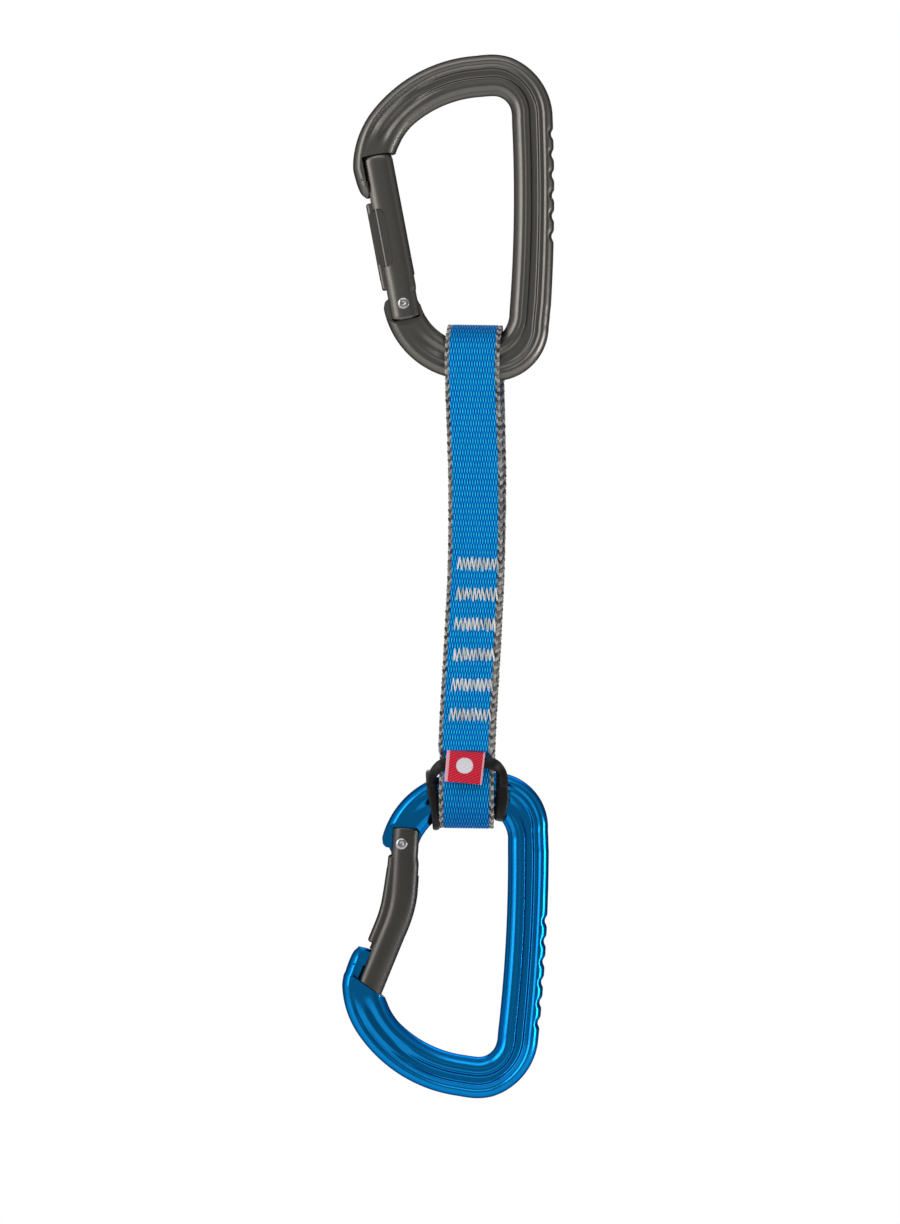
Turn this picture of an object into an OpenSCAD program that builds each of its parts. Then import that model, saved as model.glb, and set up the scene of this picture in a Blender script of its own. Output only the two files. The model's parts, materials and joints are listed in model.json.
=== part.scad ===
// Climbing quickdraw: two forged carabiners joined by a sewn tape sling.
// Millimetres. +Z is up, the gates are on the -X side and the spines on the +X side.
// The origin is the seat under the crown of the upper carabiner, where the anchor bears.

/* [Carabiner bar] */
// Width of the forged bar in the plane of the carabiner
bar_w = 12.2; // [11.6:0.1:12.6]
// Thickness of the forged bar across that plane
bar_t = 9; // [8.6:0.1:9.4]
// Radius of the bar's long edges
bar_edge_r = 3.4; // [2.6:0.1:3.8]
// Width of the lightening groove along both faces
groove_w = 4; // [2:0.5:5]
// Depth of the lightening groove
groove_depth = 0.9; // [0.3:0.1:1.2]
// Number of grip notches on the back of the spine
notch_count = 6; // [0:1:7]
// Distance from one grip notch to the next
notch_pitch = 6.3; // [5:0.1:6.5]

/* [Gate] */
// Thickness of the gate across the plane of the carabiner
gate_t = 9.2; // [8.8:0.1:9.6]
// Angle by which the closed gate leans out from the spine
gate_lean = 10.8; // [10.4:0.1:11.2]
// Radius of the rivet's shank
rivet_r = 1.5; // [1.3:0.1:1.6]
// Running clearance of the rivet in the tongue, on the radius
rivet_gap = 0.05; // [0.03:0.01:0.08]
// Travel of the spring plunger for each radian of gate opening
plunger_rate = 2.25; // [2:0.05:2.4]
// Turns of the gate spring
spring_turns = 9; // [6:1:10]

/* [Sling] */
// Distance between the two bars that the sling joins
sling_length = 132.7; // [130:0.1:160]
// Width of the tape
tape_w = 16; // [15:0.5:16]
// Thickness of the tape
tape_t = 2.2; // [2:0.1:2.4]
// Number of bar tacks
tack_count = 6; // [1:1:6]
// Distance from one bar tack to the next
tack_pitch = 9.3; // [8:0.1:9.6]
// Angle by which the sling leans from the vertical
sling_lean = 0.78; // [0:0.01:1]
// Angle by which the lower carabiner leans from the vertical
lower_lean = 3.73; // [3:0.01:4]

/* [Hidden] */
$fn = 64;
far = 100;

// Carabiner frame: the origin is the centre of the bar in the small basket, and the crown is up.
// Centre line of the bar, as tangent arcs and lines: [x, z] of each arc's centre and its radius.
basket_r = 21.3;
basket_centre = [-1.87, basket_r];
corner_r = 13.5;
corner_centre = [3.5, corner_r];
spine_x = corner_centre[0] + corner_r;
shoulder_r = 12.9;
shoulder_centre = [spine_x - shoulder_r, 75.4];
crown_r = 39.6;
crown_z = shoulder_centre[1] + shoulder_r;
crown_centre = [shoulder_centre[0], crown_z - crown_r];
crown_end = 142;
nose_r = 22.5;
nose_centre = crown_centre + (crown_r - nose_r) * [cos(crown_end), sin(crown_end)];
nose_end = 216;
lap = 0.1;
lap_angle = 1;
tongue_start = 172;
seat = [crown_centre[0], crown_z - bar_w / 2];
notch_top = 70;
notch_r = 2.6;
notch_depth = 0.7;

// Gate frame: the origin is the rivet, +Z runs along the closed gate and -X is outward.
rivet_at = [-22.6, 17.5];
ear_r = 5.6;
ear_end = 4.9;
ear_clear = 0.25;
tongue_half = 2;
fork_half = 2.12;
fork_root = 8.6;
pocket_top = -2.5;
tongue_top = 2.3;
gate_inner = 5.1;
gate_outer = 5.75;
cheek_outer = 4.1;
fin_start = 5.5;
fin_end = 32.3;
gate_edge_r = 3.2;
gate_end_r = 46.3;
end_gap = 0.3;

// Nose of the body and its seat in the gate, as rings about the rivet.
nose_tip = 34.2;
head_r = 39.2;
lock_gap = 0.3;
neck_half = 1.5;
head_half = 2.8;
web_inner = 3.2;
web_outer = 4.3;
nose_outer = 6.9;

// Bent gate: its centre line runs straight, bends outward and runs straight again.
bent_shift = 1.1;
bend_start = 13.7;
bend_r = 40;
bend_angle = 18.5;
bent_tip = 24;
bent_w = 9.2;
bent_fin = 1.5;
bent_end_at = [-7.4, 44.3];
bent_end_slant = 31.8;

// Spring and plunger, along the gate from the rivet.
tip_at = 5.6;
tip_r = 1.4;
tip_gap = 0.05;
plunger_back = 14;
plunger_gap = 0.06;
bore_end = 24;
wire_r = 0.22;
coil_r = 1.1;
cam_reach = 32;

rivet_head_r = 1.85;
rivet_head_t = 0.35;
dome_r = 3.2;

// Sling frame: the origin is the upper bar, the sling hangs down -Z and the front is -Y.
upper_loop_r = 9.1 + tape_t / 2;
lower_loop_r = 7.8 + tape_t / 2;
lower_loop_drop = 1.6;
upper_neck = 59.8;
lower_neck = sling_length - 21;
tail = 7.6;
sling_x = -0.5;
lower_x = 2.81;
stitch_w = 12.6;
stitch_h = 4;
stitch_zigs = 9;
thread = 0.5;
thread_h = 0.45;
first_tack = 62.6;

label_w = 12.3;
label_t = 0.5;
label_drop = 22;
collar_from = 10.3;
collar_to = 15.3;
collar_t = 1.6;
collar_gap = 0.2;
plate_inner = tape_w / 2 + 0.3;
plate_t = 2.4;
plate_half = 7.6;
plate_hole_half = 5.1;
plate_rim = 1.9;
plate_corner = 4;
left_hole = [6.2, -12.6];
right_hole = [6.9, -9.4];

function polar(r, a) = [r * cos(a), r * sin(a)];

// Point where a line from p touches a circle; turn is 1 for the point counter-clockwise of p.
function tangent(centre, r, p, turn) =
    let (d = p - centre, a = atan2(d[1], d[0]), b = acos(r / norm(d)))
    centre + polar(r, a + turn * b);

lower_axis = [0, -sling_length];
lower_centre = lower_axis - [0, lower_loop_drop];
front_neck = [0, -lower_neck];
back_neck = [tape_t, -lower_neck];
front_touch = tangent(lower_centre, lower_loop_r, front_neck, 1);
back_touch = tangent(lower_centre, lower_loop_r, back_neck, -1);
function unit(v) = v / norm(v);
front_dir = unit(front_touch - front_neck);
back_dir = unit(back_touch - back_neck);
front_out = [front_dir[1], -front_dir[0]];
back_out = [-back_dir[1], back_dir[0]];

// Places in the whole object
upper_at = [-seat[0], -seat[1]];
sling_at = upper_at + [sling_x, 0];
lower_at = sling_at + sling_length * [-sin(sling_lean), -cos(sling_lean)] + [lower_x, 0];

module upper_frame() translate([upper_at[0], 0, upper_at[1]]) children();
module lower_frame()
    translate([lower_at[0], 0, lower_at[1]]) rotate([0, lower_lean, 0]) mirror([0, 0, 1]) children();
module gate_frame()
    translate([rivet_at[0], 0, rivet_at[1]]) rotate([0, -gate_lean, 0]) children();
module sling_frame()
    translate([sling_at[0], 0, sling_at[1]]) rotate([0, sling_lean, 0]) children();

// A cylinder about the Y axis, h long and centred
module across(r, h) rotate([90, 0, 0]) cylinder(r = r, h = h, center = true);

// A block from one corner to the other
module block(low, high) translate(low) cube(high - low);

module rounded(w, t, r) {
    square([w - 2 * r, t], center = true);
    square([w, t - 2 * r], center = true);
    for (x = [-1, 1], y = [-1, 1])
        translate([x * (w / 2 - r), y * (t / 2 - r)]) circle(r);
}

module plain_section() rounded(bar_w, bar_t, bar_edge_r);

module grooved_section() difference() {
    plain_section();
    for (y = [-1, 1])
        translate([0, y * bar_t / 2]) square([groove_w, 2 * groove_depth], center = true);
}

// A bend of the bar, with the section that is given as its child
module bend(centre, r, from, to)
    translate([centre[0], 0, centre[1]]) rotate([90, 0, 0])
        rotate_extrude(angle = to - from, start = from) translate([r, 0]) children();

// A straight stretch of the bar along +X from a point, turned by an angle towards +Z
module run(start, length, angle)
    translate([start[0], 0, start[1]]) rotate([0, -angle, 0])
        rotate([90, 0, 90]) linear_extrude(length) rotate(90) children();

module forged_bar() {
    bend(basket_centre, basket_r, tongue_start, 270) plain_section();
    run([basket_centre[0], 0], corner_centre[0] - basket_centre[0], 0) plain_section();
    bend(corner_centre, corner_r, 270, 360) grooved_section();
    run([spine_x, corner_centre[1]], shoulder_centre[1] - corner_centre[1], 90)
        grooved_section();
    bend(shoulder_centre, shoulder_r, 0, 90) grooved_section();
    bend(crown_centre, crown_r, 90, crown_end) grooved_section();
    // The nose is a hair fuller than the crown, and laps over its end.
    bend(nose_centre, nose_r, crown_end - lap_angle, nose_end)
        rounded(bar_w + lap, bar_t + lap, bar_edge_r);
}

module grip_notches() for (i = [0:1:notch_count - 1])
    translate([spine_x + bar_w / 2 + notch_r - notch_depth, 0, notch_top - i * notch_pitch])
        across(notch_r, 2 * bar_t);

// Path of the plunger's tip about the rivet, and the cam that stays a fixed gap inside it
function tip_path(a) = tip_at + plunger_rate * max(0, a) * PI / 180;
function cam_point(a) =
    let (r = tip_path(a), slope = a > 0 ? plunger_rate : 0, n = norm([r, slope]),
         reach = tip_r + tip_gap)
    [r * sin(a), r * cos(a)]
        - reach / n * [r * sin(a) - slope * cos(a), r * cos(a) + slope * sin(a)];

module tongue_outline() {
    polygon(concat([[-9, -8], [-9, tongue_top], [-3.4, tongue_top]],
        [for (a = [-40:3:cam_reach]) cam_point(a)], [[4.9, -0.8], [9, -1.2], [9, -8]]));
}

// What is cut from the bar to leave the tongue that the gate straddles
module hinge_cuts() {
    rotate([90, 0, 0]) linear_extrude(2 * bar_t, center = true) difference() {
        translate([-14, -7]) square([28, 24]);
        tongue_outline();
    }
    for (y = [-1, 1]) translate([0, y * (tongue_half + bar_t), 0]) {
        across(ear_r + ear_clear, 2 * bar_t);
        block([-14, -bar_t, pocket_top], [14, bar_t, 14]);
    }
    across(rivet_r + rivet_gap, 2 * bar_t);
}

module ring(inner, outer, h) difference() {
    across(outer, h);
    across(inner, h + 1);
}

// What is cut from the bar to leave the nose: a neck, and a wider head that locks in the gate
module nose_cuts(bent) {
    rotate([90, 0, 0]) linear_extrude(2 * bar_t, center = true)
        polygon([[-20, 20], [-20, 45], [-nose_outer, 45], [-nose_outer, nose_tip + 2],
                 [-nose_outer + 1.5, nose_tip], [20, nose_tip], [20, 20]]);
    intersection() {
        mouth(bent);
        block([web_inner, -bar_t, 20], [20, bar_t, 60]);
    }
    for (y = [-1, 1]) {
        intersection() {
            mouth(bent);
            ring(head_r, far, 2 * bar_t);
            translate([0, y * (neck_half + bar_t), 0])
                block([-web_outer, -bar_t, 20], [20, bar_t, 60]);
        }
        intersection() {
            across(head_r + 0.01, 4 * bar_t);
            translate([0, y * (head_half + bar_t), 0])
                block([-web_outer, -bar_t, 20], [20, bar_t, 60]);
        }
    }
}

// The room that the end of the gate takes: inside a circle about the rivet for the straight
// gate, and below the slanting end for the bent one
module mouth(bent)
    if (bent) bent_end(end_gap); else across(gate_end_r + end_gap, 4 * bar_t);

module carabiner_body(bent) difference() {
    forged_bar();
    grip_notches();
    gate_frame() {
        hinge_cuts();
        nose_cuts(bent);
    }
}

// The slots and bores that both gates share
module gate_cuts() {
    block([-far, -fork_half, -far], [far, fork_half, fork_root]);
    across(rivet_r, 2 * gate_t);
    for (y = [-1, 1]) translate([0, y * (gate_t / 2 - rivet_head_t + 2), 0])
        across(rivet_head_r, 4);
    translate([0, 0, fork_root - 1])
        cylinder(r = tip_r + plunger_gap, h = bore_end - fork_root + 1);
    intersection() {
        ring(head_r + lock_gap, far, 2 * (neck_half + lock_gap));
        block([-far, -gate_t, 20], [web_inner + lock_gap, gate_t, far]);
    }
    intersection() {
        ring(nose_tip - 0.4, head_r + lock_gap, 2 * (head_half + lock_gap));
        block([-far, -gate_t, 20], [web_inner + lock_gap, gate_t, far]);
    }
    block([-far, -gate_t, fin_end], [-cheek_outer, gate_t, far]);
}

// Rounds the end of the ears, so that they clear the body as the gate turns
module ear_limit() {
    across(ear_r, 2 * gate_t);
    block([-far, -gate_t, 0], [far, gate_t, far]);
}

module straight_gate() difference() {
    intersection() {
        translate([(gate_inner - gate_outer) / 2, 0, -ear_end])
            linear_extrude(gate_end_r + ear_end)
                rounded(gate_inner + gate_outer, gate_t, gate_edge_r);
        across(gate_end_r, 2 * gate_t);
        ear_limit();
    }
    block([-far, -gate_t, -far], [-4.6, gate_t, fin_start]);
    block([4.8, -gate_t, -far], [far, gate_t, 3.6]);
    gate_cuts();
}

module bent_section() rounded(bent_w, gate_t, gate_edge_r);

// Frame of the bent gate, turned so that its lower part stands upright
module upright() rotate([0, gate_lean, 0]) children();

module bent_rod() {
    translate([bent_shift, 0, -ear_end]) linear_extrude(bend_start + ear_end) bent_section();
    translate([bent_shift - bend_r, 0, bend_start]) rotate([90, 0, 0])
        rotate_extrude(angle = bend_angle, start = 0) translate([bend_r, 0]) bent_section();
    // The tip is a hair fuller than the bend, and laps over its end.
    translate([bent_shift - bend_r, 0, bend_start]) rotate([0, -bend_angle, 0])
        translate([bend_r, 0, -lap_angle]) linear_extrude(bent_tip)
            rounded(bent_w + lap, gate_t + lap, gate_edge_r);
}

// All that lies below the slanting end of the bent gate, or a gap beyond it
module bent_end(gap)
    upright() translate([bent_end_at[0], 0, bent_end_at[1]]) rotate([0, -bent_end_slant, 0])
        block([-20, -2 * bar_t, -30], [20, 2 * bar_t, gap]);

// Fin along the outer side of the bent gate
module bent_fins() {
    intersection() {
        translate([bent_shift - bent_w / 2 - bent_fin, -gate_t / 4, 3.6])
            cube([3, gate_t / 2, bend_start - 3.6]);
        ear_limit();
    }
    translate([bent_shift - bend_r, 0, bend_start]) rotate([90, 0, 0])
        rotate_extrude(angle = bend_angle, start = 0)
            translate([bend_r - bent_w / 2 - bent_fin, -gate_t / 4]) square([3, gate_t / 2]);
}

module bent_gate() difference() {
    intersection() {
        upright() union() {
            bent_rod();
            bent_fins();
        }
        ear_limit();
        union() {
            bent_end(0);
            across(fin_end, 2 * gate_t);
        }
    }
    gate_cuts();
}

module rivet() {
    across(rivet_r, gate_t - 2 * rivet_head_t);
    for (y = [-1, 1]) intersection() {
        translate([0, y * (gate_t / 2 - rivet_head_t / 2 + 0.2), 0])
            across(rivet_head_r, rivet_head_t + 0.4);
        translate([0, y * (gate_t / 2 + 0.4 - dome_r), 0]) sphere(dome_r);
    }
}

module plunger() {
    translate([0, 0, tip_at]) cylinder(r = tip_r, h = plunger_back - tip_at);
    translate([0, 0, tip_at]) sphere(tip_r);
}

module coil(r, wire, bottom, top, turns) {
    sides = 6;
    per_turn = 12;
    steps = turns * per_turn;
    points = [for (i = [0:steps], k = [0:sides - 1])
        let (a = 360 * i / per_turn, b = 360 * k / sides, reach = r + wire * cos(b))
        [reach * cos(a), reach * sin(a),
         bottom + wire + (top - bottom - 2 * wire) * i / steps + wire * sin(b)]];
    walls = [for (i = [0:steps - 1], k = [0:sides - 1])
        let (p = i * sides + k, q = i * sides + (k + 1) % sides)
        [p, p + sides, q + sides, q]];
    polyhedron(points, concat(walls, [[for (k = [0:sides - 1]) k]],
        [[for (k = [sides - 1:-1:0]) steps * sides + k]]));
}

module gate_spring()
    coil(coil_r, wire_r, plunger_back + 0.05, bore_end - 0.05, spring_turns);

// Tape modules work in the side view of the sling, [y, z], and are turned into place together.
module side_view() rotate([90, 0, 90]) children();
module tape_arc(centre, r, from, to)
    translate([centre[0], centre[1], 0]) rotate_extrude(angle = to - from, start = from)
        translate([r - tape_t / 2, -tape_w / 2]) square([tape_t, tape_w]);
module strip(p, q, thick, width) {
    d = q - p;
    translate([p[0], p[1], 0]) rotate(atan2(d[1], d[0]))
        translate([0, -thick / 2, -width / 2]) cube([norm(d), thick, width]);
}
// A stretch of tape, a hair slimmer than its bends and lapping into them at both ends
module tape(p, q) {
    ends = lap * unit(q - p);
    strip(p - ends, q + ends, tape_t - 0.02, tape_w - 0.02);
}

function angle_of(v) = atan2(v[1], v[0]);

module upper_loop() {
    left = tangent([0, 0], upper_loop_r, [-tape_t, -upper_neck], -1);
    right = tangent([0, 0], upper_loop_r, [tape_t, -upper_neck], 1);
    tape_arc([0, 0], upper_loop_r, angle_of(right), 360 + angle_of(left));
    tape(left, [-tape_t, -upper_neck]);
    tape(right, [tape_t, -upper_neck]);
}

// Three layers sewn together
module sewn_stack() strip([0, -upper_neck], [0, -lower_neck], 3 * tape_t, tape_w);

module lower_loop() {
    tape_arc(lower_centre, lower_loop_r,
        angle_of(front_touch - lower_centre), 360 + angle_of(back_touch - lower_centre));
    tape(front_neck, front_touch);
    tape(back_neck, back_touch);
}

// The folded end of the tape lies on the front of the lower loop
module tape_tail() {
    root = front_neck - [tape_t, 0];
    tape(root, root + tail * front_dir);
}

module webbing() side_view() {
    upper_loop();
    sewn_stack();
    lower_loop();
    tape_tail();
}

// A zigzag row of stitches, drawn in its own plane
module zigzag() {
    n = 2 * stitch_zigs;
    step = [(stitch_w - thread) / n, stitch_h - thread];
    for (i = [0:n - 1]) translate([(i + 0.5 - n / 2) * step[0], 0])
        rotate((i % 2 == 0 ? 1 : -1) * atan2(step[0], step[1]))
            square([thread, norm(step)], center = true);
}

module bar_tack(i) sling_frame() translate([0.8, 0, -first_tack - (i - 1) * tack_pitch]) {
    for (y = [-1, 1]) translate([0, y * (1.5 * tape_t + thread_h / 2), 0])
        rotate([90, 0, 0]) linear_extrude(thread_h, center = true) zigzag();
    for (k = [-1.5:1.5]) translate([k * 3, 0, 0]) across(thread / 2, 3 * tape_t + thread_h);
}

// A point beside the front of the lower loop: along the tape, then out from its middle
function on_front(along, out) = front_neck + along * front_dir + out * front_out;
function on_back(along, out) = back_neck + along * back_dir + out * back_out;

module label_tab() side_view() translate([0, 0, -1.1]) {
    out = tape_t / 2 + collar_gap + collar_t + 0.2 + label_t / 2;
    strip(on_front(tail + 1.5, tape_t / 2 + 0.4), on_front(collar_from - 0.2, out), label_t, label_w);
    strip(on_front(collar_from - 0.45, out), on_front(label_drop, out), label_t, label_w);
}

module plate_outline(hole) difference() {
    top = -lower_neck - 8.2;
    bottom = -sling_length + hole[1] - plate_rim;
    translate([0, (top + bottom) / 2]) rounded(2 * plate_half, top - bottom, plate_corner);
    translate([0, -sling_length + (hole[0] + hole[1]) / 2])
        rounded(2 * plate_hole_half, hole[0] - hole[1], plate_corner);
}

// Rubber stirrup: straps in front of and behind the tape, and a plate at each side round the bar
module keeper() side_view() {
    out = tape_t / 2 + collar_gap + collar_t / 2;
    width = 2 * plate_inner + plate_t;
    strip(on_front(collar_from, out), on_front(collar_to, out), collar_t, width);
    strip(on_back(collar_from, out), on_back(collar_to, out), collar_t, width);
    translate([0, 0, -plate_inner - plate_t]) linear_extrude(plate_t) plate_outline(left_hole);
    translate([0, 0, plate_inner]) linear_extrude(plate_t) plate_outline(right_hole);
}

module top_body() color("#504d49") upper_frame() carabiner_body(false);
module top_gate() color("#5c5955") upper_frame() gate_frame() straight_gate();
module top_gate_rivet() color("silver") upper_frame() gate_frame() rivet();
module top_gate_plunger() color("silver") upper_frame() gate_frame() plunger();
module top_gate_spring() color("silver") upper_frame() gate_frame() gate_spring();
module bottom_body() color("#0069be") lower_frame() carabiner_body(true);
module bottom_gate() color("#4a4846") lower_frame() gate_frame() bent_gate();
module bottom_gate_rivet() color("silver") lower_frame() gate_frame() rivet();
module bottom_gate_plunger() color("silver") lower_frame() gate_frame() plunger();
module bottom_gate_spring() color("silver") lower_frame() gate_frame() gate_spring();
module sling_webbing() color("#008cdc") sling_frame() webbing();
module woven_label() color("#d72337") sling_frame() label_tab();
module rubber_keeper() color("#1c1b1c") sling_frame() keeper();
module tack(i) color("#e1e1dc") if (i <= tack_count) bar_tack(i);

top_body();
top_gate();
top_gate_rivet();
top_gate_plunger();
top_gate_spring();
sling_webbing();
tack(1);  // bar_tack_1
tack(2);  // bar_tack_2
tack(3);  // bar_tack_3
tack(4);  // bar_tack_4
tack(5);  // bar_tack_5
tack(6);  // bar_tack_6
woven_label();
rubber_keeper();
bottom_body();
bottom_gate();
bottom_gate_rivet();
bottom_gate_plunger();
bottom_gate_spring();
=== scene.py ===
"""The looks of a climbing quickdraw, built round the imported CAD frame.

Metres in the scene, millimetres inside the shape functions. +Z is up, the gates are on the -X
side, and the front, with the label, is on -Y.
"""

import json
from math import acos, atan2, cos, hypot, pi, radians, sin, sqrt

import bmesh
import bpy
import numpy as np
from mathutils import Matrix, Vector

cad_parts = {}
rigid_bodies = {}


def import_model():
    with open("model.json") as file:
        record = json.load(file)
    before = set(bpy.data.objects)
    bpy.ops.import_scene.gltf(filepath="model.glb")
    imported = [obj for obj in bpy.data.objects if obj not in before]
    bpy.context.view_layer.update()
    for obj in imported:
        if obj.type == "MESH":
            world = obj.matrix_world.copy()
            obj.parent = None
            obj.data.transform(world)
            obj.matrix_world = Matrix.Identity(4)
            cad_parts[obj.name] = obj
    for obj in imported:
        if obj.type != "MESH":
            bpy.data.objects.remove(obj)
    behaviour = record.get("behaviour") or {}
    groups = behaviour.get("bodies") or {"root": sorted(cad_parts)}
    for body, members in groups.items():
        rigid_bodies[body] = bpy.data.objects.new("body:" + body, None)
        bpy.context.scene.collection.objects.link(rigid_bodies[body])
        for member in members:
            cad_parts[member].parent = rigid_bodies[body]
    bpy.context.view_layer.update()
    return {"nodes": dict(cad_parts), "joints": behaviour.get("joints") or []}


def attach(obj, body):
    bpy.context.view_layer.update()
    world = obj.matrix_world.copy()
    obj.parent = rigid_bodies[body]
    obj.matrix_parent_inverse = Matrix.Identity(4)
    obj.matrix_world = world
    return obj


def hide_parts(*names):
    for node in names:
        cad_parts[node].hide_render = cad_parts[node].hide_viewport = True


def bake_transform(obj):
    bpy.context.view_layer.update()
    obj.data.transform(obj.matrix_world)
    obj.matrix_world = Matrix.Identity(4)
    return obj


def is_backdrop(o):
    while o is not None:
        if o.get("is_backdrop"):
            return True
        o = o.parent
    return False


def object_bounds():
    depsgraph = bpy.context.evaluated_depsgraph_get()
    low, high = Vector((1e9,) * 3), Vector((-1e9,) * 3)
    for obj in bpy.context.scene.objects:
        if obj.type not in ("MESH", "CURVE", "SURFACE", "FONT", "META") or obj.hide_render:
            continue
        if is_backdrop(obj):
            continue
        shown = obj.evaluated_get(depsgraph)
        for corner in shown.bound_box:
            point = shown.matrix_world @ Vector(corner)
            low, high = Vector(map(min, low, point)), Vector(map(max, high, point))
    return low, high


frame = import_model()
MM = 0.001
joints = {joint["name"]: joint for joint in frame["joints"]}
random = np.random.default_rng(7)


def joint_at(name):
    """A joint's place in millimetres."""
    return Vector(joints[name]["pos_m"]) / MM


# ---- frames, in millimetres
RIVET_AT = Vector((-22.6, 0, 17.5))
GATE_LEAN = radians(10.8)
SLING_LEAN = radians(0.78)
LOWER_LEAN = radians(3.73)
FLIP = Matrix.Scale(-1, 4, (0, 0, 1))


def placed(rivet_world, turn):
    """The frame of a carabiner whose rivet is at a place in the world."""
    return Matrix.Translation(rivet_world - turn @ RIVET_AT) @ turn


UPPER = placed(joint_at("upper_gate_hinge"), Matrix.Identity(4))
LOWER = placed(joint_at("lower_gate_hinge"), Matrix.Rotation(LOWER_LEAN, 4, "Y") @ FLIP)
GATE = Matrix.Translation(RIVET_AT) @ Matrix.Rotation(-GATE_LEAN, 4, "Y")
SLING = Matrix.Translation(joint_at("sling_swing")) @ Matrix.Rotation(SLING_LEAN, 4, "Y")


# ---- mesh helpers
def linked(name, data):
    """A new object in the scene, with its data."""
    made = bpy.data.objects.new(name, data)
    bpy.context.scene.collection.objects.link(made)
    return made


def new_object(name, points, faces, place):
    """A smooth-shaded closed mesh from points in millimetres, put in place in metres, with its
    normals pointing out."""
    mesh = bpy.data.meshes.new(name)
    points = np.asarray(points, float).reshape(-1, 3)
    points = points @ np.array(place.to_3x3()).T + np.array(place.to_translation())
    mesh.from_pydata((points * MM).tolist(), [], faces)
    if place.to_3x3().determinant() < 0:
        mesh.flip_normals()
    mesh.shade_smooth()
    work = bmesh.new()
    work.from_mesh(mesh)
    bmesh.ops.recalc_face_normals(work, faces=work.faces)
    work.to_mesh(mesh)
    work.free()
    return linked(name, mesh)


def loft(sections):
    """Points and faces of a closed tube through sections, an array of rows of points."""
    sections = np.asarray(sections, float)
    rows, around = sections.shape[:2]
    index = np.arange(rows * around).reshape(rows, around)
    nxt = np.roll(index, -1, axis=1)
    quads = np.stack([index[:-1], nxt[:-1], nxt[1:], index[1:]], axis=-1).reshape(-1, 4)
    faces = quads.tolist() + [index[0][::-1].tolist(), index[-1].tolist()]
    return sections.reshape(-1, 3), faces


def settle(piece, sharp=None):
    """Applies a piece's modifiers, and keeps edges sharp above an angle in degrees."""
    graph = bpy.context.evaluated_depsgraph_get()
    mesh = bpy.data.meshes.new_from_object(piece.evaluated_get(graph))
    piece.modifiers.clear()
    old = piece.data
    piece.data = mesh
    mesh.name = piece.name
    bpy.data.meshes.remove(old)
    mesh.shade_smooth()
    if sharp:
        mesh.set_sharp_from_angle(angle=radians(sharp))


def combine(piece, others, operation, sharp=32):
    """Cuts other pieces from a piece, or adds them to it, and removes them."""
    for other in others:
        modifier = piece.modifiers.new("combine", "BOOLEAN")
        modifier.object = other
        modifier.operation = operation
        modifier.solver = "EXACT"
    settle(piece, sharp)
    for other in others:
        bpy.data.objects.remove(other)


CUT_REACH = 12


def prism(outline, low, high, place):
    """A block with an outline in the X-Z plane, from one Y to another."""
    n = len(outline)
    points = [(x, y, z) for y in (low, high) for x, z in outline]
    sides = [(i, (i + 1) % n, n + (i + 1) % n, n + i) for i in range(n)]
    faces = sides + [tuple(range(n))[::-1], tuple(range(n, 2 * n))]
    return new_object("cutter", points, faces, place)


def through(outline, place):
    """A block that goes right through a piece."""
    return prism(outline, -CUT_REACH, CUT_REACH, place)


def both_sides(outline, inner, place):
    """The same block in front and behind, from a distance off the middle plane."""
    return [prism(outline, -CUT_REACH, -inner, place), prism(outline, inner, CUT_REACH, place)]


def disc(radius, centre=(0, 0), start=0, end=360, steps=64):
    """Points of a circle or of an arc, in the X-Z plane."""
    angles = np.radians(np.linspace(start, end, steps + 1))
    points = [(centre[0] + radius * cos(a), centre[1] + radius * sin(a)) for a in angles]
    return points[:-1] if end - start == 360 else points


def rectangle(left, right, low, high):
    return [(left, low), (right, low), (right, high), (left, high)]


def clipped(outline, point, normal):
    """The part of a convex outline on the far side of a line, seen along its normal."""
    kept = []
    for i, p in enumerate(outline):
        q = outline[(i + 1) % len(outline)]
        side_p = (p[0] - point[0]) * normal[0] + (p[1] - point[1]) * normal[1]
        side_q = (q[0] - point[0]) * normal[0] + (q[1] - point[1]) * normal[1]
        if side_p <= 0:
            kept.append(p)
        if side_p * side_q < 0:
            t = side_p / (side_p - side_q)
            kept.append((p[0] + t * (q[0] - p[0]), p[1] + t * (q[1] - p[1])))
    return kept


def smooth_step(t):
    t = np.clip(t, 0, 1)
    return t * t * (3 - 2 * t)


def softened(values, span):
    """A running mean that keeps the ends."""
    padded = np.pad(values, span, mode="edge")
    kernel = np.ones(2 * span + 1) / (2 * span + 1)
    return np.convolve(padded, kernel, mode="valid")


# ---- carabiner bodies
STATION, NOSE_STATION = 0.6, 0.3
EDGE_POINTS, MIDDLE_POINTS = 30, 4
INNER_SPAN, OUTER_SPAN = 5.8, 5.4
HALF_THICK = 4.5

# Centre line of the bar: kind, centre or start, radius or length, first and last angle, and the
# circles (centre x, centre z, radius) that its outer and inner edges follow there.
ARCS = [
    ((-1.87, 21.3), 21.3, 172, 270, (-2.15, 21.36, 27.11), (-1.6, 22.3, 16.5)),
    ((3.5, 13.5), 13.5, 270, 360, (5.25, 10.78, 16.95), (0.85, 14.9, 9.2)),
    (None, 61.9, 0, 0, (-556.4, 51.3, 580.3), (-453.7, 50.7, 465.1)),
    ((4.1, 75.4), 12.9, 0, 90, (3.16, 74.76, 20.28), (5.0, 76.2, 5.7)),
    ((4.1, 48.7), 39.6, 90, 142, (2.77, 49.92, 44.41), (3.35, 46.91, 34.73)),
    ((-9.37, 59.23), 22.5, 142, 180, (-9.65, 59.73, 28.62), (-9.37, 59.23, 16.4)),
    ((-9.37, 59.23), 22.5, 180, 218, (-9.65, 59.73, 28.62), (-9.37, 59.23, 16.4)),
]
SPINE_X = 17
SPINE_LOW = 13.5
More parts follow.
